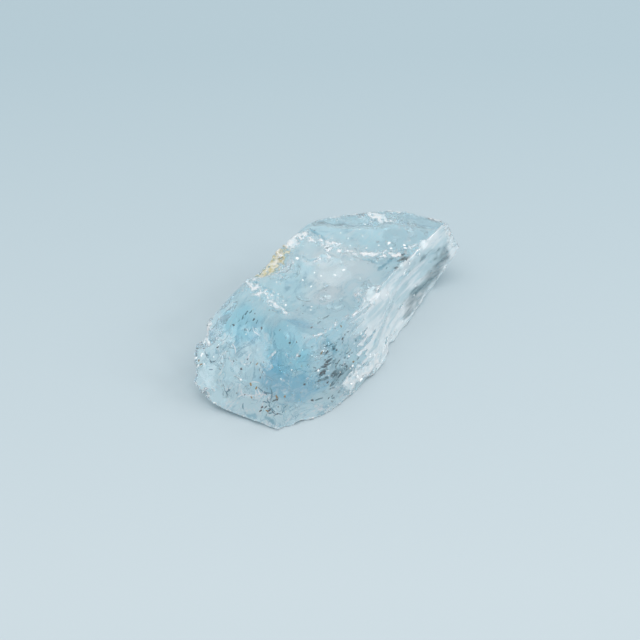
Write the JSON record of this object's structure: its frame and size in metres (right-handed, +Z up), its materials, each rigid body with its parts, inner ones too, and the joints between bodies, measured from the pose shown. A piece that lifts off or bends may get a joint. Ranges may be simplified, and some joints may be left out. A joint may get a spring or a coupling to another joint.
{
  "type": "aquamarine crystal",
  "caption": "Rough pale blue beryl crystal, a broken length of a hexagonal prism with shell-shaped flakes and a ribbed flank, lying on its flattest break.",
  "frame": {"origin": "middle of the footprint, on the surface that the stone lies on", "axes": "+X along the crystal's c-axis towards the thin end, -Y towards the ribbed flank, +Z up"},
  "size_m": [0.0328, 0.015, 0.0089],
  "materials": {
    "aquamarine": "clear pale blue beryl with glossy shell-shaped breaks, frosted ridges and dark specks sealed inside"
  },
  "bodies": {
    "root": {"aquamarine_crystal": "aquamarine"}
  },
  "joints": []
}
